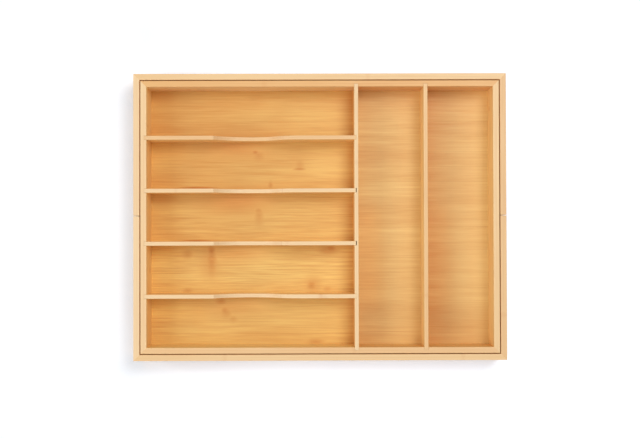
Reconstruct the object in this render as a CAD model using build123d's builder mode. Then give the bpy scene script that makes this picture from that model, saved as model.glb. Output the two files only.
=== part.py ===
"""Expandable cutlery tray of bamboo boards, modelled closed.

A main tray holds five cutlery slots and two long slots. Two U-shaped extensions close round it
and slide out, one to the rear and one to the front, on runners that ride in grooves of the main
tray's end walls.

Millimetres. +X runs along the cutlery slots, +Y to the rear, +Z up. The origin is the middle of
the closed tray's footprint, on the surface that it stands on.
"""

import os
from collections import namedtuple

from build123d import *

# Overall size, closed
overall_length = 455.0
overall_width = 350.0
overall_height = 50.0

# Boards
wall = 7.5
floor_panel = 3.5
divider = 5.0
rim_ease = 0.6

# Compartments: cutlery slots on the left, two long slots side by side on the right
cutlery_length = 253.4
cutlery_rows = 5

# Floor panels, let into grooves above a lip at the foot of each wall
floor_lip = 2.0
panel_groove_share = 0.45
panel_slack = 0.2

# Housings cut down from the rim, which take the ends of the dividers
end_housing_share = 0.4
long_housing_share = 0.47
middle_housing_share = 0.56
housing_slack = 0.05
close_end_gap = 0.1
open_end_gap = 1.0

# Finger scoop in the top edge of each cutlery divider
scoop_depth_share = 0.545
scoop_steep_run = 43.3
scoop_flat_run = 6.0
scoop_soft_run = 54.0
scoop_off_centre = 1.3
scoop_corner = 1.0

# Extensions, closed round the main tray and meeting at a seam
side_gap = 1.1
floor_gap = 0.4
seam_gap = 0.6
seam_y = 1.5
open_overlap = 49.6

# Runners of the extensions, and the stopped grooves that they ride in
runner_length = 24.0
runner_height = 6.0
runner_inset = 6.0
runner_housing_share = 0.53
runner_ease = 0.5
slide_groove_share = 0.4
slide_clearance = 0.3

# Cutters run this far past the faces that they open
overrun = 1.0

# A frame of four walls: half its length and width outside, and the height of its foot
Frame = namedtuple("Frame", "half_length half_width foot")
LEFT = Vector(-1, 0, 0)
RIGHT = Vector(1, 0, 0)
REAR = Vector(0, 1, 0)
FRONT = Vector(0, -1, 0)
UP = Vector(0, 0, 1)

outer = Frame(overall_length / 2, overall_width / 2, 0)
main_foot = outer.foot + floor_lip + floor_panel + floor_gap
main = Frame(outer.half_length - wall - side_gap, outer.half_width - wall - side_gap, main_foot)

# Inside of the main tray
inner_half_length = main.half_length - wall
inner_half_width = main.half_width - wall
inner_floor = main.foot + floor_lip + floor_panel
divider_height = overall_height - inner_floor
row_width = (2 * inner_half_width - (cutlery_rows - 1) * divider) / cutlery_rows
long_slot_width = (2 * inner_half_length - cutlery_length - 2 * divider) / 2
left_divider_x = -inner_half_length + cutlery_length + divider / 2
right_divider_x = inner_half_length - long_slot_width - divider / 2
cutlery_divider_y = [
    inner_half_width - (row + 1) * row_width - (row + 0.5) * divider
    for row in range(cutlery_rows - 1)
]

# Depths of the joints
panel_groove = panel_groove_share * wall
end_housing = end_housing_share * wall
long_housing = long_housing_share * wall
middle_housing = middle_housing_share * divider
housing_width = divider + 2 * housing_slack

# The slide
runner_housing = runner_housing_share * wall
slide_groove = slide_groove_share * wall
slide_height = (main.foot + overall_height) / 2
travel = main.half_width - seam_y - seam_gap / 2 - open_overlap


def across(frame, side):
    """Plane across a wall: x points outwards from its inner face, y up from its foot."""
    inner_face = Vector(
        side.X * (frame.half_length - wall), side.Y * (frame.half_width - wall), frame.foot
    )
    return Plane(origin=inner_face, x_dir=side, z_dir=side.cross(UP))


def add_wall(frame, side):
    """Adds a wall's moulding, eased at the rim and grooved for the floor, with its ends uncut."""
    with BuildSketch(across(frame, side)) as section:
        Rectangle(wall, overall_height - frame.foot, align=Align.MIN)
        fillet(section.vertices().group_by(Axis.Y)[-1], rim_ease)
        with Locations((0, floor_lip)):
            Rectangle(panel_groove, floor_panel, align=Align.MIN, mode=Mode.SUBTRACT)
    extrude(section.sketch, amount=frame.half_length + frame.half_width, both=True)


def mitre(frame, side, end):
    """Cuts a wall's end on the diagonal of the frame's corner."""
    towards = side + end
    corner = Vector(towards.X * frame.half_length, towards.Y * frame.half_width, 0)
    split(bisect_by=Plane(origin=corner, z_dir=end - side), keep=Keep.BOTTOM)


def cut_housings(places, depth, along):
    """Cuts open-topped housings for dividers, centred on places in the face that they enter."""
    size = (2 * depth, housing_width) if along == Axis.X else (housing_width, 2 * depth)
    with BuildSketch(Plane.XY.offset(inner_floor)) as mouths:
        with Locations(places):
            Rectangle(*size)
    extrude(mouths.sketch, amount=divider_height + overrun, mode=Mode.SUBTRACT)


def slide_plane(distance, side, centre_y):
    """Plane that faces out of one end of the tray, centred on a runner or on its groove."""
    centre = Vector(side.X * distance, centre_y, slide_height)
    return Plane(origin=centre, x_dir=REAR, z_dir=side)


def runner_y(pull, shift=0):
    """Middle of a runner of the extension that pulls out this way, once pulled out by shift."""
    return seam_y + pull.Y * (seam_gap / 2 + runner_inset + runner_length / 2 + shift)


def save(part, name):
    """Labels a piece and writes its STEP file."""
    part.label = name
    export_step(part, f"parts/{name}.step")


def main_long_wall(name, side):
    """A wall of the main tray along X, with housings for the long dividers."""
    with BuildPart() as board:
        add_wall(main, side)
        mitre(main, side, LEFT)
        mitre(main, side, RIGHT)
        inner_y = side.Y * inner_half_width
        places = [(left_divider_x, inner_y), (right_divider_x, inner_y)]
        cut_housings(places, long_housing, along=Axis.Y)
    save(board.part, name)


def main_end_wall(name, side, holds_dividers):
    """A wall of the main tray along Y, with the stopped grooves that the runners ride in."""
    with BuildPart() as board:
        add_wall(main, side)
        mitre(main, side, REAR)
        mitre(main, side, FRONT)
        if holds_dividers:
            places = [(side.X * inner_half_length, y) for y in cutlery_divider_y]
            cut_housings(places, end_housing, along=Axis.X)
        for pull in (REAR, FRONT):
            with BuildSketch(slide_plane(main.half_length, side, runner_y(pull, travel / 2))):
                SlotOverall(
                    runner_length + travel + 2 * slide_clearance,
                    runner_height + 2 * slide_clearance,
                )
            extrude(amount=-slide_groove, mode=Mode.SUBTRACT)
    save(board.part, name)


def main_floor_panel(name):
    """The main tray's floor, in the grooves of its four walls."""
    reach = panel_groove - panel_slack
    with BuildPart() as panel:
        with BuildSketch(Plane.XY.offset(inner_floor)):
            Rectangle(2 * (inner_half_length + reach), 2 * (inner_half_width + reach))
        extrude(amount=-floor_panel)
    save(panel.part, name)


def long_divider(name, x, holds_dividers):
    """A divider from the front wall to the rear wall, with housings if it holds the short ones."""
    with BuildPart() as board:
        with BuildSketch(Plane.XZ) as section:
            with Locations((x, inner_floor)):
                Rectangle(divider, divider_height, align=(Align.CENTER, Align.MIN))
            fillet(section.vertices().group_by(Axis.Y)[-1], rim_ease)
        extrude(amount=inner_half_width + long_housing - close_end_gap, both=True)
        if holds_dividers:
            places = [(x - divider / 2, y) for y in cutlery_divider_y]
            cut_housings(places, middle_housing, along=Axis.X)
    save(board.part, name)


def cutlery_divider(name, y, right_end_gap):
    """A short divider with its scoop: a steep arc, a flat, and a soft S back up to the rim."""
    left_end = -inner_half_length - end_housing + close_end_gap
    right_end = -inner_half_length + cutlery_length + middle_housing - right_end_gap
    scoop_bottom = overall_height - scoop_depth_share * divider_height
    flat_middle = -inner_half_length + cutlery_length / 2 + scoop_off_centre

    flat_start = Vector(flat_middle - scoop_flat_run / 2, scoop_bottom)
    flat_end = Vector(flat_middle + scoop_flat_run / 2, scoop_bottom)
    shoulder = Vector(flat_start.X - scoop_steep_run, overall_height)
    run_out = Vector(flat_end.X + scoop_soft_run, overall_height)

    with BuildPart() as board:
        with BuildSketch(Plane.XZ.offset(-y)) as side:
            with BuildLine():
                TangentArc(flat_start, shoulder, tangent=(-1, 0))
                Line(flat_start, flat_end)
                rise = TangentArc(flat_end, (flat_end + run_out) / 2, tangent=(1, 0))
                TangentArc(rise @ 1, run_out, tangent=rise % 1)
                Polyline(
                    run_out,
                    (right_end, overall_height),
                    (right_end, inner_floor),
                    (left_end, inner_floor),
                    (left_end, overall_height),
                    shoulder,
                )
            make_face()
            fillet(side.vertices().sort_by_distance(shoulder)[0], scoop_corner)
        extrude(amount=divider / 2, both=True)
        outline = board.faces().sort_by(SortBy.AREA)[-2:].edges()
        foot_and_top = outline.filter_by(Axis.Z, reverse=True).sort_by(Axis.Z)
        fillet(foot_and_top[2:], rim_ease)
    save(board.part, name)


def extension(name, pull):
    """A pull-out: a long wall, two side walls with runners, and a floor panel."""
    seam_end = seam_y + pull.Y * seam_gap / 2

    with BuildPart() as long_wall:
        add_wall(outer, pull)
        mitre(outer, pull, LEFT)
        mitre(outer, pull, RIGHT)
    save(long_wall.part, f"{name}_long_wall")

    for side, hand in ((LEFT, "left"), (RIGHT, "right")):
        face_x = outer.half_length - wall
        with BuildPart() as side_wall:
            add_wall(outer, side)
            mitre(outer, side, pull)
            split(bisect_by=Plane(origin=(0, seam_end, 0), z_dir=pull), keep=Keep.TOP)
            with BuildSketch(slide_plane(face_x, side, runner_y(pull))):
                SlotOverall(runner_length, runner_height)
            extrude(amount=runner_housing, mode=Mode.SUBTRACT)
        save(side_wall.part, f"{name}_{hand}_wall")

        with BuildPart() as runner:
            with BuildSketch(slide_plane(face_x + runner_housing, side, runner_y(pull))):
                SlotOverall(runner_length, runner_height)
            extrude(amount=-(runner_housing + side_gap + slide_groove - slide_clearance))
            sliding_face = runner.faces().sort_by_distance((0, runner_y(pull), slide_height))[0]
            chamfer(sliding_face.edges(), runner_ease)
        save(runner.part, f"{name}_{hand}_runner")

    reach = panel_groove - panel_slack
    panel_length = 2 * (outer.half_length - wall + reach)
    panel_width = outer.half_width - wall + reach - pull.Y * seam_end
    with BuildPart() as panel:
        with BuildSketch(Plane.XY.offset(outer.foot + floor_lip)):
            with Locations((0, seam_end + pull.Y * panel_width / 2)):
                Rectangle(panel_length, panel_width)
        extrude(amount=floor_panel)
    save(panel.part, f"{name}_floor")


os.makedirs("parts", exist_ok=True)

main_long_wall("main_rear_wall", REAR)
main_long_wall("main_front_wall", FRONT)
main_end_wall("main_left_wall", LEFT, holds_dividers=True)
main_end_wall("main_right_wall", RIGHT, holds_dividers=False)
main_floor_panel("main_floor")

long_divider("long_divider_left", left_divider_x, holds_dividers=True)
long_divider("long_divider_right", right_divider_x, holds_dividers=False)

# The dividers in the middle stop short in their housings, and leave a slit at the rim
for row, y in enumerate(cutlery_divider_y):
    outermost = row in (0, cutlery_rows - 2)
    cutlery_divider(f"cutlery_divider_{row + 1}", y, close_end_gap if outermost else open_end_gap)

extension("rear", REAR)
extension("front", FRONT)
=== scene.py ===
"""Finish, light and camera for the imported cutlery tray, in metres and in the model's own frame."""

from collections import namedtuple
from math import atan2, hypot, pi, radians

import bpy
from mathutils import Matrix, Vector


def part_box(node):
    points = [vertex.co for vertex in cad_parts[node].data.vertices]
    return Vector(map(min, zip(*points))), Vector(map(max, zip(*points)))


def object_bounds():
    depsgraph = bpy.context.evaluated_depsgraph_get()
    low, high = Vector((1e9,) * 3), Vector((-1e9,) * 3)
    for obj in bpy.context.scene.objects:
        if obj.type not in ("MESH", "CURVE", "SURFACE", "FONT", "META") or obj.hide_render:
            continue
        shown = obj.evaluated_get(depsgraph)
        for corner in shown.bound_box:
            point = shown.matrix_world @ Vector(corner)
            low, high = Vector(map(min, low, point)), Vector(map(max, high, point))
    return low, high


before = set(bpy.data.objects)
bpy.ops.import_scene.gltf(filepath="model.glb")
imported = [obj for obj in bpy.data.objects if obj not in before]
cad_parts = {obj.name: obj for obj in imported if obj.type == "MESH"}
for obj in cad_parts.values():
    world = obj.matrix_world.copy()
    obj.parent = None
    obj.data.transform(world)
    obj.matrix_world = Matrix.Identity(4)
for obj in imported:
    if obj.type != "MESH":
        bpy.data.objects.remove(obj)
cad_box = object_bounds()

# Places and sizes on a board are in millimetres, and those in the scene in metres
MM = 0.001


def srgb(red, green, blue):
    """A colour read as 0 to 255, as the linear colour that a shader takes."""
    shares = [value / 255 for value in (red, green, blue)]
    linear = [s / 12.92 if s <= 0.04045 else ((s + 0.055) / 1.055) ** 2.4 for s in shares]
    return (*linear, 1.0)


WHITE = (1.0, 1.0, 1.0, 1.0)
BLACK = (0.0, 0.0, 0.0, 1.0)

# Bamboo: the broad faces of a board, its sawn edges, and what darkens or warms them
# The broad faces' colours differ from board to board: each board's own tone, with painted light and
# shade for where its face stands
BROAD_FACE = srgb(240, 202, 127)
LEFT_FACE = srgb(246, 202, 132)
WARM_FACE = srgb(242, 195, 124)
OUTER_FACE = srgb(252, 201, 137)
# Outer faces of the main walls: darker and warmer where the extensions slide along them, which also
# paints shade into the narrow gaps beside them
SLIDE_AND_GAP_SHADE_FACE = srgb(236, 184, 114)
REAR_FACE = srgb(244, 205, 148)
RIGHT_FACE = srgb(250, 209, 138)
CUTLERY_FLOOR = srgb(235, 185, 103)
LONG_FLOOR = srgb(237, 191, 118)
CREAM_EDGE = srgb(251, 216, 168)
IVORY_EDGE = srgb(250, 212, 161)
HONEY_EDGE = srgb(246, 207, 154)
AMBER_EDGE = srgb(244, 199, 144)
GOLD_EDGE = srgb(242, 189, 125)
END_GRAIN = srgb(190, 134, 78)
END_FIBRE = srgb(120, 74, 38)
# Tints of the fibres and of the brown marks, which also carry painted shade
FIBRE_AND_SHADE_TINT = (0.84, 0.66, 0.53, 1.0)
NODE_AND_SHADE_TINT = (0.76, 0.48, 0.31, 1.0)
JOINT_TINT = (0.80, 0.66, 0.52, 1.0)
WARM_TINT = (1.10, 1.00, 0.86, 1.0)

# Widths of the strips that a board is glued from, and of its glue lines
FLOOR_STRIP = 19.0
WALL_STRIP = 16.7
JOINT_WIDTH = 0.35
PLY_LINE_WIDTH = 0.3

# Shift of the figure from one board to the next, and its shares along, across and through a board
SEED_SHIFT = 137.0
SHIFT_SHARES = (1.0, 0.37, 0.73)

# Fibres, from hair lines to broad soft clouds: length and width of each noise's cells
HAIR = (24.0, 0.9)
LINE = (52.0, 1.6)
STREAK = (170.0, 5.5)
CLOUD = (110.0, 24.0)
NOISE_DETAIL = 2.0

# How much each of them darkens a board, and how much a strip's own tone and the glue lines do
HAIR_SHADE = 0.75
LINE_SHADE = 1.15
STREAK_SHADE = 0.72
CLOUD_SHADE = 1.05
STRIP_SHADE = 0.22
JOINT_SHADE = 0.5

# What a sawn edge keeps of the shade, of the whole figure and of the brown marks
EDGE_SHADE = 0.40
EDGE_FIGURE = 0.35
EDGE_MARKS = 0.50

# Nodes of the culm: soft brown bands across the strips of a wall, whose outlines follow the fibres
NODE_PITCH = 290.0
NODE_HALF_LENGTH = 4.0
NODE_STRENGTH = 0.28
NODE_SIDES = (0.5, 0.30)
NODE_STREAK = 10.0
NODE_LINE = 8.0

# Single brown marks and painted shade: how far one fades out, in its half lengths, and how fibres make
# it waver
MARK_REACH = 1.20
MARK_STREAK = 0.8
MARK_LINE = 0.9
MARK_HAIR = 1.2

# Faces of a board, told apart by how far the normal points through it, along it or outwards
EDGE_RAMP = (0.85, 0.35)
END_RAMP = (0.80, 0.95)
OUTSIDE_RAMP = (0.5, 0.9)

# End grain: the dark ends of the fibre bundles, which run on a long way into the board
BUNDLES_PER_MM = 1.3
BUNDLE_STRETCH = 0.02
BUNDLE_RAMP = (0.42, 0.18)
BUNDLE_STRENGTH = 0.6

# Satin varnish
VARNISH = {"IOR": 1.45, "Coat Weight": 0.06, "Coat Roughness": 0.32}
ROUGHNESS = 0.50
LINE_ROUGHNESS = 0.25
RELIEF = {"Strength": 0.35, "Distance": 0.12 * MM}

# Brown marks, from broad nodes to thin dark fibres, and spots of painted shade:
# along, across, half length, half width, strength
MARKS_AND_PAINTED_SHADE = {
    "main_floor": (
        # Nodes and other brown marks
        (-80.0, 148.0, 14.0, 10.0, 0.18),
        (-77.0, 78.0, 10.0, 9.0, 0.42),
        (-81.0, 82.0, 6.0, 3.6, 0.80),
        (-25.0, 66.0, 6.5, 7.0, 0.35),
        (-25.2, 61.0, 7.5, 2.2, 0.75),
        (-61.9, 40.8, 3.6, 6.0, 0.55),
        # Painted shadow along the rear foot of cutlery divider 2
        (-154.0, 37.4, 32.0, 1.8, 1.10),
        # Painted shade in front of cutlery divider 2
        (-68.0, 23.5, 15.0, 4.5, 0.35),
        # Nodes and other brown marks
        (-76.5, 3.0, 8.0, 15.0, 0.52),
        (-77.2, 8.7, 6.5, 5.0, 0.65),
        # Painted shadow along the rear foot of cutlery divider 3
        (-154.0, -29.0, 32.0, 1.8, 1.10),
        # Nodes and other brown marks
        (-166.0, -45.7, 8.0, 7.0, 0.50),
        (-137.0, -54.0, 16.0, 28.0, 0.42),
        (-136.0, -53.0, 9.0, 26.0, 0.75),
        (-136.0, -42.0, 7.0, 9.0, 0.90),
        (10.0, -41.0, 14.0, 8.5, 0.55),
        (13.5, -38.8, 8.0, 5.0, 0.80),
        (-8.5, -84.0, 13.0, 14.0, 0.45),
        (-10.6, -85.0, 8.0, 8.0, 0.80),
        (9.0, -90.0, 7.0, 4.0, 0.40),
        (-124.0, -105.0, 11.0, 5.5, 0.75),
        (-117.5, -119.0, 10.0, 10.0, 0.55),
        (-119.5, -117.0, 6.5, 7.0, 0.70),
        (-109.0, -127.0, 7.5, 6.0, 0.40),
        (-5.7, -156.0, 13.0, 5.0, 0.60),
        # Painted warm shade in the rear left corners of the first and third cutlery slots
        (-200.0, 152.0, 30.0, 15.0, 0.50),
        (-199.0, 22.0, 24.0, 12.0, 0.30),
        # Thin dark fibres
        (-201.0, -126.0, 24.0, 0.8, 0.55),
        (-201.0, -131.0, 22.0, 0.9, 0.60),
        (-203.0, -137.0, 18.0, 0.9, 0.55),
        (-198.0, -144.0, 18.0, 0.8, 0.40),
        (90.0, -139.0, 46.0, 0.7, 0.45),
        (90.0, -143.5, 46.0, 0.7, 0.55),
        (90.0, -148.0, 46.0, 0.7, 0.50),
        (-180.0, 144.0, 40.0, 0.8, 0.35),
        (-165.0, 139.5, 50.0, 0.7, 0.35),
        # Painted shade in front of the scoops of cutlery dividers 1 to 4
        (-106.0, 88.0, 56.0, 17.0, 0.50),
        (-106.0, 20.0, 58.0, 24.0, 0.62),
        (-106.0, -46.0, 54.0, 16.0, 0.38),
        (-106.0, -112.0, 54.0, 16.0, 0.34),
        # A node
        (-165.7, -91.5, 8.0, 4.5, 0.45),
    ),
    "cutlery_divider_4": ((1.0, 46.0, 4.0, 14.0, 0.60),),
}

# Darker or lighter stretches, from board tones and painted shade and light:
# along, across, half length, half width, shade, extra contrast, border
TONES_AND_PAINTED_SHADE = {
    "main_floor": (
        # The floor's boards, each with its own tone: one for each cutlery slot from the rear, then the
        # long slots
        (-84.4, 128.9, 129.0, 32.0, 0.34, -0.10, 4.0),
        (-84.4, 64.4, 129.0, 32.0, 0.13, 0.10, 4.0),
        (-84.4, 0.0, 129.0, 32.0, 0.00, 0.50, 4.0),
        (-84.4, -64.4, 129.0, 32.0, -0.20, 1.00, 4.0),
        (-84.4, -128.9, 129.0, 32.0, -0.08, 0.25, 4.0),
        (130.0, 0.0, 84.0, 161.0, 0.03, -0.10, 4.0),
        (171.4, 0.0, 42.0, 161.0, 0.12, -0.22, 4.0),
        # Painted light and shade: lighter at the rear left and the right of the cutlery slots, darker
        # at their front left and at the front left of the long slots
        (-205.0, 80.0, 22.0, 16.0, -0.35, 0.00, 12.0),
        (-205.0, -48.0, 24.0, 12.0, -0.35, 0.00, 12.0),
        (-200.0, -112.0, 34.0, 12.0, -0.35, 0.00, 12.0),
        (5.0, 112.0, 44.0, 18.0, -0.30, 0.00, 14.0),
        (15.0, 76.0, 30.0, 22.0, -0.35, 0.00, 14.0),
        (66.0, -85.0, 18.0, 75.0, 0.30, 0.00, 16.0),
        (150.0, -80.0, 18.0, 75.0, 0.30, 0.00, 16.0),
        (-198.0, 152.0, 22.0, 12.0, -0.45, 0.00, 12.0),
        (-192.0, 84.0, 36.0, 12.0, -0.15, 0.00, 12.0),
        (-192.0, -47.0, 36.0, 12.0, -0.15, 0.00, 12.0),
        (-182.0, -115.0, 46.0, 14.0, -0.20, 0.00, 12.0),
        (-196.0, 43.0, 26.0, 6.0, 0.22, 0.00, 8.0),
        (-196.0, -24.0, 26.0, 7.0, 0.25, 0.00, 8.0),
        (-196.0, -90.0, 26.0, 6.0, 0.12, 0.00, 8.0),
        (150.0, -50.0, 18.0, 60.0, 0.12, 0.00, 14.0),
    ),
    # On the walls' inner faces: lighter over the first cutlery slot, darker over the long slots
    "main_left_wall": ((129.0, 25.0, 32.0, 40.0, -0.35, 0.0, 4.0),),
    "main_rear_wall": ((131.0, 25.0, 86.0, 40.0, 0.95, 0.0, 4.0),),
    "main_front_wall": ((131.0, 25.0, 86.0, 40.0, 0.65, 0.0, 4.0),),
}

# Warm light from board to board: along, across, half length, half width, strength, border
WARM_SPOTS = {
    "main_floor": (
        (-200.0, 0.0, 24.0, 160.0, 0.4, 14.0),
        (-195.0, 84.0, 32.0, 12.0, 0.5, 12.0),
        (-195.0, -45.0, 32.0, 8.0, 0.5, 12.0),
        (-185.0, -115.0, 42.0, 14.0, 0.5, 12.0),
        (64.0, -50.0, 14.0, 60.0, 0.7, 14.0),
        (150.0, -50.0, 14.0, 60.0, 0.4, 14.0),
    ),
}

# Painted shade and light on the floor panel from left to right, with its two jumps under the long
# dividers
# The cutlery slots darker in the middle and at their right end, the long slots darker at their left and
# lighter at their right
PAINTED_FLOOR_SHADE = (
    (-215.0, -0.12), (-150.0, 0.06), (-85.0, 0.12), (-20.0, -0.10), (20.0, -0.22), (33.0, -0.10),
    (41.0, 0.50), (46.0, 0.25), (80.0, 0.00), (105.0, 0.00), (126.0, -0.32),
    (135.0, 0.70), (165.0, 0.15), (190.0, -0.05), (204.0, -0.45), (213.0, -0.70),
)

# Left and right face of the divider that closes the cutlery slots
SLOT_BORDER = [corner[0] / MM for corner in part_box("long_divider_left")]

Fibres = namedtuple("Fibres", "hair line streak cloud")


class Shader:
    """The node tree of a material or a world, with short calls that add a node and give its output."""

    def __init__(self, owner):
        owner.use_nodes = True
        self.tree = owner.node_tree
        self.tree.nodes.clear()

    def node(self, kind, **settings):
        node = self.tree.nodes.new(kind)
        for key, value in settings.items():
            setattr(node, key, value)
        return node

    def put(self, socket, value):
        """Links a socket to an output, or sets it to a plain value."""
        if isinstance(value, bpy.types.NodeSocket):
            self.tree.links.new(value, socket)
        else:
            socket.default_value = value

    def output(self, kind, surface):
        """Adds the output node of a material or a world, and puts the surface into it."""
        self.put(self.node(kind).inputs["Surface"], surface)

    def math(self, operation, *values):
        node = self.node("ShaderNodeMath", operation=operation)
        for socket, value in zip(node.inputs, values):
            self.put(socket, value)
        return node.outputs[0]

    def add(self, *values):
        total = values[0]
        for value in values[1:]:
            total = self.math("ADD", total, value)
        return total

    def times(self, *values):
        product = values[0]
        for value in values[1:]:
            product = self.math("MULTIPLY", product, value)
        return product

    def keep(self, value, mask, share):
        """The value where the mask is 0, and this share of it where the mask is 1."""
        return self.times(value, self.add(1.0, self.times(mask, share - 1.0)))

    def step(self, value, start, end):
        """Smooth step from 0, where value is start, to 1, where it is end."""
        node = self.node("ShaderNodeMapRange", interpolation_type="SMOOTHSTEP")
        for name, setting in (("Value", value), ("From Min", start), ("From Max", end)):
            self.put(node.inputs[name], setting)
        return node.outputs[0]

    def join(self, x, y, z):
        node = self.node("ShaderNodeCombineXYZ")
        for socket, value in zip(node.inputs, (x, y, z)):
            self.put(socket, value)
        return node.outputs[0]

    def split(self, vector):
        node = self.node("ShaderNodeSeparateXYZ")
        self.put(node.inputs[0], vector)
        return list(node.outputs)

    def grain(self, place, length, width):
        """Noise from -0.5 to 0.5 whose cells have this length and width in millimetres."""
        sizes = (length, width, width)
        cells = [self.times(position, 1 / size) for position, size in zip(place, sizes)]
        node = self.node("ShaderNodeTexNoise", noise_dimensions="3D")
        self.put(node.inputs["Vector"], self.join(*cells))
        node.inputs["Scale"].default_value = 1.0
        node.inputs["Detail"].default_value = NOISE_DETAIL
        return self.add(node.outputs[0], -0.5)

    def curve(self, value, points):
        """A number that goes evenly from one point (value, number from -1 to 1) to the next."""
        start, end = points[0][0], points[-1][0]
        node = self.node("ShaderNodeValToRGB")
        ramp = node.color_ramp
        while len(ramp.elements) < len(points):
            ramp.elements.new(1.0)
        for element, (place, number) in zip(ramp.elements, points):
            element.position = (place - start) / (end - start)
            element.color = ((number + 1) / 2,) * 3 + (1.0,)
        self.put(node.inputs[0], self.times(self.add(value, -start), 1 / (end - start)))
        return self.add(self.times(node.outputs[0], 2.0), -1.0)

    def patch(self, place, centre, half, border):
        """1 in a rectangle on the board, and smoothly down to 0 across its border."""
        inside = 1.0
        for position, middle, reach in zip(place, centre, half):
            from_middle = self.math("ABSOLUTE", self.add(position, -middle))
            inside = self.times(self.step(from_middle, reach + border, reach - border), inside)
        return inside

    def random(self, value):
        """A random number from 0 to 1, its own for every value."""
        node = self.node("ShaderNodeTexWhiteNoise", noise_dimensions="1D")
        self.put(node.inputs["W"], value)
        return node.outputs[0]

    def mix(self, amount, first, second, blend="MIX"):
        """Mixes two colours, whose sockets come after those for numbers and vectors."""
        node = self.node("ShaderNodeMix", data_type="RGBA", blend_type=blend, clamp_factor=False)
        self.put(node.inputs[0], amount)
        self.put(node.inputs[6], first)
        self.put(node.inputs[7], second)
        return node.outputs[2]

    def tint(self, colour, amount, tint):
        """The colour darkened towards its product with tint, or lightened where amount is below 0."""
        return self.mix(1.0, colour, self.mix(amount, WHITE, tint), "MULTIPLY")

    def seen(self):
        """1 where the camera looks, straight or by way of a gloss or a glass, and 0 for the light."""
        path = self.node("ShaderNodeLightPath")
        seen = path.outputs["Is Camera Ray"]
        for ray in ("Is Glossy Ray", "Is Transmission Ray"):
            seen = self.math("MAXIMUM", seen, path.outputs[ray])
        return seen


def board_axes(s, board):
    """Position along, across and through a board in millimetres, and its normal the same way."""
    coordinates = s.node("ShaderNodeTexCoord")
    result = []
    for output, scale in (("Object", 1 / MM), ("Normal", 1.0)):
        x, y, z = [s.times(socket, scale) for socket in s.split(coordinates.outputs[output])]
        along, side = (x, y) if board.grain == "X" else (y, x)
        result.append((along, z, side) if board.standing else (along, side, z))
    return result


def mid_thickness(name, grain, standing):
    """Middle of a board's thickness in millimetres, on the axis that goes through it."""
    low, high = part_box(name)
    axis = 2
    if standing:
        axis = 1 if grain == "X" else 0
    return (low[axis] + high[axis]) / 2 / MM


def culm_nodes(s, own_along, phase, off_centre, fibres):
    """Soft brown bands across the strips of a wall, at a place of its own in every strip."""
    turn = s.math("FRACT", s.add(s.times(own_along, 1 / NODE_PITCH), phase))
    from_node = s.times(s.math("ABSOLUTE", s.add(turn, -0.5)), NODE_PITCH)
    ragged = s.add(from_node, s.times(fibres.streak, NODE_STREAK), s.times(fibres.line, NODE_LINE))
    band = s.step(ragged, NODE_HALF_LENGTH, 0.0)
    return s.times(band, s.step(off_centre, *NODE_SIDES), NODE_STRENGTH)


def mark_and_shade_strength(s, name, place, fibres, bands):
    """Strength of the single marks and painted shade of a board, or of its bands where they are
    stronger.
    """
    strongest = bands
    waver = [
        s.times(fibres.streak, MARK_STREAK),
        s.times(fibres.line, MARK_LINE),
        s.times(fibres.hair, MARK_HAIR),
    ]
    for along, across, half_length, half_width, strength in MARKS_AND_PAINTED_SHADE.get(name, ()):
        du = s.times(s.add(place[0], -along), 1 / half_length)
        dv = s.times(s.add(place[1], -across), 1 / half_width)
        away = s.math("SQRT", s.add(s.times(du, du), s.times(dv, dv)))
        mark = s.step(s.add(away, *waver), MARK_REACH, 0.0)
        strongest = s.math("MAXIMUM", strongest, s.times(mark, strength))
    return strongest


def tone_and_painted_shade(s, name, place):
    """How much darker than its colour a place is, from tone and painted shade and light, and how lively
    its fibres are.
    """
    shade = s.curve(place[0], PAINTED_FLOOR_SHADE) if name == "main_floor" else 0.0
    contrast = 1.0
    for along, across, half_length, half_width, amount, extra_contrast, border in TONES_AND_PAINTED_SHADE.get(name, ()):
        inside = s.patch(place, (along, across), (half_length, half_width), border)
        shade = s.add(shade, s.times(inside, amount))
        contrast = s.add(contrast, s.times(inside, extra_contrast))
    return shade, contrast


def warmed(s, name, place, colour):
    """The colour with the warm light that falls on parts of a board."""
    for along, across, half_length, half_width, strength, border in WARM_SPOTS.get(name, ()):
        inside = s.patch(place, (along, across), (half_length, half_width), border)
        colour = s.tint(colour, s.times(inside, strength), WARM_TINT)
    return colour


def end_grain(s, own_place):
    """Colour of a board's sawn ends."""
    along, across, through = own_place
    bundles = s.node("ShaderNodeTexVoronoi", feature="F1")
    s.put(bundles.inputs["Vector"], s.join(s.times(along, BUNDLE_STRETCH), across, through))
    bundles.inputs["Scale"].default_value = BUNDLES_PER_MM
    dots = s.step(bundles.outputs["Distance"], *BUNDLE_RAMP)
    return s.mix(s.times(dots, BUNDLE_STRENGTH), END_GRAIN, END_FIBRE)


def varnish(s, colour, fibres, joint):
    """Satin varnish whose gloss and relief follow the fibres and the glue lines a little."""
    gloss = s.node("ShaderNodeBsdfPrincipled")
    relief = s.node("ShaderNodeBump")
    for node, settings in ((gloss, VARNISH), (relief, RELIEF)):
        for socket, value in settings.items():
            node.inputs[socket].default_value = value
    s.put(gloss.inputs["Base Color"], colour)
    s.put(gloss.inputs["Roughness"], s.add(ROUGHNESS, s.times(fibres.line, LINE_ROUGHNESS)))
    s.put(relief.inputs["Height"], s.times(s.add(fibres.hair, fibres.line, joint), -1.0))
    s.put(gloss.inputs["Normal"], relief.outputs[0])
    return gloss.outputs[0]


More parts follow.
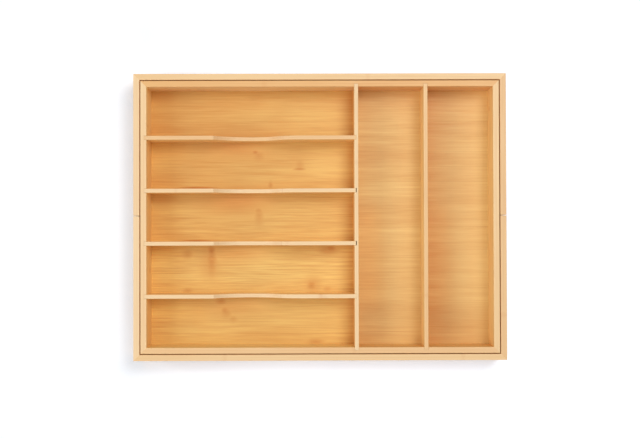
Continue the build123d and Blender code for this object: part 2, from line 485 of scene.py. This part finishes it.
def bamboo(board, seed):
    """Varnished bamboo board: glued strips with fibres and nodes, sawn edges, and end grain.

    A lying board takes the second colour to the right of the cutlery slots. The main tray's walls are
    darker and warmer outside, where the extensions slide along them, which also paints shade into the
    narrow gaps beside them. Parts of some boards carry painted shade and light.
    """
    name = board.node
    material = bpy.data.materials.new(name)
    s = Shader(material)
    place, normal = board_axes(s, board)
    along, _, through = place
    shift = SEED_SHIFT * seed
    own_place = [s.add(position, share * shift) for position, share in zip(place, SHIFT_SHARES)]
    fibres = Fibres(*[s.grain(own_place, *size) for size in (HAIR, LINE, STREAK, CLOUD)])

    # Strips, each with its own tone and its own place for the nodes
    strip = WALL_STRIP if board.standing else FLOOR_STRIP
    cell = s.times(own_place[1], 1 / strip)
    index = s.math("FLOOR", cell)
    off_centre = s.math("ABSOLUTE", s.add(s.math("FRACT", cell), -0.5))
    strip_tone = s.add(s.random(index), -0.5)
    joint = s.step(off_centre, 0.5 - JOINT_WIDTH / strip, 0.5)

    # Faces and their colours
    middle = mid_thickness(name, board.grain, board.standing)
    edge_face = s.step(s.math("ABSOLUTE", normal[2]), *EDGE_RAMP)
    end_face = s.step(s.math("ABSOLUTE", normal[0]), *END_RAMP)
    outside = 0.0
    if board.standing:
        colour = s.mix(edge_face, board.broad, board.edge)
        # The main walls' outer faces: darker and warmer, which also paints shade into the gaps beside
        # them
        if name.startswith("main_"):
            outside = s.step(s.times(normal[2], 1.0 if middle > 0 else -1.0), *OUTSIDE_RAMP)
            colour = s.mix(outside, colour, SLIDE_AND_GAP_SHADE_FACE)
    else:
        colour = s.mix(s.step(along, *SLOT_BORDER), board.broad, board.edge)

    # Figure of the fibres, with the boards' own tones and painted shade and light
    shade, contrast = tone_and_painted_shade(s, name, place)
    shade = s.keep(s.keep(shade, outside, 0.0), edge_face, EDGE_SHADE)
    fine = s.times(s.add(s.times(fibres.hair, HAIR_SHADE), s.times(fibres.line, LINE_SHADE)), contrast)
    figure_and_shade = s.add(
        fine,
        s.times(fibres.streak, STREAK_SHADE),
        s.times(fibres.cloud, CLOUD_SHADE),
        s.times(strip_tone, STRIP_SHADE),
        shade,
    )
    colour = s.tint(colour, s.keep(figure_and_shade, edge_face, EDGE_FIGURE), FIBRE_AND_SHADE_TINT)
    colour = warmed(s, name, place, colour)

    # Nodes, brown marks, and painted shade at the dividers and in corners
    bands = 0.0
    if board.standing:
        phase = s.random(s.add(index, 0.5))
        bands = culm_nodes(s, own_place[0], phase, off_centre, fibres)
    marks = s.keep(mark_and_shade_strength(s, name, place, fibres, bands), edge_face, EDGE_MARKS)
    colour = s.tint(colour, marks, NODE_AND_SHADE_TINT)

    # Glue lines between the strips, and between the two plies that show on a sawn edge
    from_middle = s.math("ABSOLUTE", s.add(through, -middle))
    ply_line = s.times(s.step(from_middle, PLY_LINE_WIDTH, 0.0), edge_face)
    colour = s.tint(colour, s.times(s.math("MAXIMUM", joint, ply_line), JOINT_SHADE), JOINT_TINT)

    # The board's own tone, its sawn ends and the varnish over all of it
    colour = s.tint(colour, 1.0, (board.tone, board.tone, board.tone, 1.0))
    colour = s.mix(end_face, colour, end_grain(s, own_place))
    s.output("ShaderNodeOutputMaterial", varnish(s, colour, fibres, joint))
    return material


# Every board, in the order that seeds its figure: node, grain, whether it stands, colours and tone
Board = namedtuple("Board", "node grain standing broad edge tone")
BOARDS = [
    Board("main_floor", "X", False, CUTLERY_FLOOR, LONG_FLOOR, 1.00),
    Board("main_left_wall", "Y", True, LEFT_FACE, IVORY_EDGE, 1.00),
    Board("main_right_wall", "Y", True, RIGHT_FACE, HONEY_EDGE, 1.00),
    Board("main_rear_wall", "X", True, REAR_FACE, GOLD_EDGE, 1.00),
    Board("main_front_wall", "X", True, BROAD_FACE, AMBER_EDGE, 1.00),
    Board("long_divider_left", "Y", True, WARM_FACE, CREAM_EDGE, 0.98),
    Board("long_divider_right", "Y", True, RIGHT_FACE, AMBER_EDGE, 1.00),
    Board("cutlery_divider_1", "X", True, LEFT_FACE, AMBER_EDGE, 1.00),
    Board("cutlery_divider_2", "X", True, LEFT_FACE, CREAM_EDGE, 1.00),
    Board("cutlery_divider_3", "X", True, LEFT_FACE, CREAM_EDGE, 1.00),
    Board("cutlery_divider_4", "X", True, LEFT_FACE, CREAM_EDGE, 1.00),
]
for end in ("rear", "front"):
    BOARDS += [
        Board(f"{end}_long_wall", "X", True, OUTER_FACE, HONEY_EDGE, 1.00),
        Board(f"{end}_left_wall", "Y", True, OUTER_FACE, CREAM_EDGE, 1.00),
        Board(f"{end}_right_wall", "Y", True, OUTER_FACE, AMBER_EDGE, 0.96),
        Board(f"{end}_floor", "X", False, LONG_FLOOR, LONG_FLOOR, 0.98),
        Board(f"{end}_left_runner", "Y", True, OUTER_FACE, OUTER_FACE, 0.88),
        Board(f"{end}_right_runner", "Y", True, OUTER_FACE, OUTER_FACE, 0.88),
    ]

for seed, board in enumerate(BOARDS, start=1):
    material = bamboo(board, seed)
    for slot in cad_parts[board.node].material_slots:
        slot.material = material


# Ground, as it lights the tray and as the camera sees it
GROUND_SIZE = 6.0
GROUND_COLOUR = (0.82, 0.83, 0.85, 1.0)
# Painted light: the camera sees the ground whiter towards its right, which hides the shadow there
SEEN_LEFT = (1.085, 1.085, 1.075, 1.0)
SEEN_RIGHT = (1.25, 1.27, 1.30, 1.0)
SEEN_RAMP = (-0.25, 0.0)
SEEN_LIFT = (0.01, 0.06, 0.13, 1.0)
# Painted cool tint along the tray's sides, and painted shadow left of it
PAINTED_COOL_NEAR = (1.00, 1.03, 1.07, 1.0)
PAINTED_SHADOW_BESIDE = (0.91, 0.92, 0.92, 1.0)
NEAR_REACH = 0.05
CORNER_RAMP = (0.0, -0.03)
BESIDE_RAMP = (-0.02, 0.0)
FAR_RAMP = (0.2, 0.5)
# Painted brown shade that the camera sees under the main tray
PAINTED_SHADE_UNDER_TRAY = (0.40, 0.20, 0.08, 1.0)
UNDER_RAMP = (0.0, -0.001)


def ground_material():
    """Matt pale ground, which looks nearly white to the camera.

    Painted light makes it whiter towards its right, where it hides the shadow, and it is less white at
    its left, where the shadow shows. The shadow has a painted cool tint along the tray, and a painted
    shadow makes it deepest left of the tray. Under the main tray the camera sees a painted brown shade,
    and far away plain white.
    """
    material = bpy.data.materials.new("ground")
    s = Shader(material)
    seen = s.seen()
    x, y, _ = s.split(s.node("ShaderNodeTexCoord").outputs["Object"])

    # How far a place is beyond the tray's sides, and beyond the main tray's
    half_x, half_y, _ = cad_box[1]
    beyond_x = s.add(s.math("ABSOLUTE", x), -half_x)
    beyond_y = s.add(s.math("ABSOLUTE", y), -half_y)
    beyond_left = s.add(s.times(x, -1.0), -half_x)
    main_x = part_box("main_right_wall")[1][0]
    main_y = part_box("main_rear_wall")[1][1]
    from_main = s.math("MAXIMUM", s.add(beyond_x, half_x - main_x), s.add(beyond_y, half_y - main_y))

    # Zones: the strips along the tray's four sides, for a painted cool tint, the left one of them, for
    # a painted shadow, what is under the main tray, for a painted brown shade, and what is far
    near_end = s.times(s.step(beyond_x, NEAR_REACH, 0.0), s.step(beyond_y, *CORNER_RAMP))
    near_side = s.times(s.step(beyond_y, NEAR_REACH, 0.0), s.step(beyond_x, *CORNER_RAMP))
    near = s.math("MAXIMUM", near_end, near_side)
    painted_shadow_zone = s.times(near_end, s.step(beyond_left, *BESIDE_RAMP))
    under = s.step(from_main, *UNDER_RAMP)
    far = s.step(s.math("MAXIMUM", beyond_x, beyond_y), *FAR_RAMP)

    # What the camera sees: painted light to the right, painted cool tint and shadow near the tray,
    # painted brown shade under the main tray
    seen_colour = s.mix(s.step(x, *SEEN_RAMP), SEEN_LEFT, SEEN_RIGHT)
    seen_colour = s.tint(seen_colour, near, PAINTED_COOL_NEAR)
    seen_colour = s.tint(seen_colour, painted_shadow_zone, PAINTED_SHADOW_BESIDE)
    seen_colour = s.mix(s.add(under, far), seen_colour, BLACK)
    matt = s.node("ShaderNodeBsdfDiffuse")
    s.put(matt.inputs["Color"], s.mix(seen, GROUND_COLOUR, seen_colour))
    lift = s.node("ShaderNodeEmission")
    s.put(lift.inputs["Color"], s.mix(far, s.mix(under, SEEN_LIFT, PAINTED_SHADE_UNDER_TRAY), WHITE))
    s.put(lift.inputs["Strength"], seen)
    both = s.node("ShaderNodeAddShader")
    for socket, part in zip(both.inputs, (matt, lift)):
        s.put(socket, part.outputs[0])
    s.output("ShaderNodeOutputMaterial", both.outputs[0])
    return material


def make_ground():
    """A level sheet at the height of the tray's feet."""
    half = GROUND_SIZE / 2
    mesh = bpy.data.meshes.new("ground")
    corners = [(-half, -half, 0), (half, -half, 0), (half, half, 0), (-half, half, 0)]
    mesh.from_pydata(corners, [], [(0, 1, 2, 3)])
    mesh.materials.append(ground_material())
    ground = bpy.data.objects.new("ground", mesh)
    bpy.context.scene.collection.objects.link(ground)


make_ground()


# Light all round, and softboxes: the place, the size and the share of white on level ground
AMBIENT = 0.37
SOFTBOXES = {
    "overhead": ((0.65, 0.62, 1.95), 0.9, 0.27),
    "left": ((-1.6, -0.1, 1.3), 1.0, 0.14),
    "front": ((0.0, -1.8, 1.0), 1.0, 0.05),
}


def softbox(name, place, size, share):
    """A square lamp aimed at the tray, which lights level ground to this share of white."""
    x, y, z = place
    distance = (x * x + y * y + z * z) ** 0.5
    lamp = bpy.data.lights.new(name, "AREA")
    lamp.shape = "SQUARE"
    lamp.size = size
    lamp.energy = share * 4 * pi * distance ** 3 / z
    box = bpy.data.objects.new(name, lamp)
    box.location = place
    box.rotation_euler = (atan2(hypot(x, y), z), 0, atan2(y, x) + pi / 2)
    bpy.context.scene.collection.objects.link(box)


def make_world():
    """Even light all round, and white where the camera, a gloss or a glass sees past the ground."""
    world = bpy.data.worlds.new("studio")
    bpy.context.scene.world = world
    s = Shader(world)
    strength = s.node("ShaderNodeMapRange")
    for socket, value in (("Value", s.seen()), ("To Min", AMBIENT), ("To Max", 1.0)):
        s.put(strength.inputs[socket], value)
    sky = s.node("ShaderNodeBackground")
    s.put(sky.inputs["Color"], WHITE)
    s.put(sky.inputs["Strength"], strength.outputs[0])
    s.output("ShaderNodeOutputWorld", sky.outputs[0])


for name, (place, size, share) in SOFTBOXES.items():
    softbox(name, place, size, share)
make_world()


# Camera: straight above the tray, a touch in front of its middle, with its tilt in degrees
CAMERA_PLACE = (-0.0041, -0.0202, 1.301)
CAMERA_TILT = (0.773, -0.186, -0.156)
CAMERA_LENS = 57.76

camera_data = bpy.data.cameras.new("camera")
camera_data.lens = CAMERA_LENS
camera = bpy.data.objects.new("camera", camera_data)
camera.location = CAMERA_PLACE
camera.rotation_euler = [radians(angle) for angle in CAMERA_TILT]
bpy.context.scene.collection.objects.link(camera)
bpy.context.scene.camera = camera
bpy.context.scene.view_settings.view_transform = "Standard"
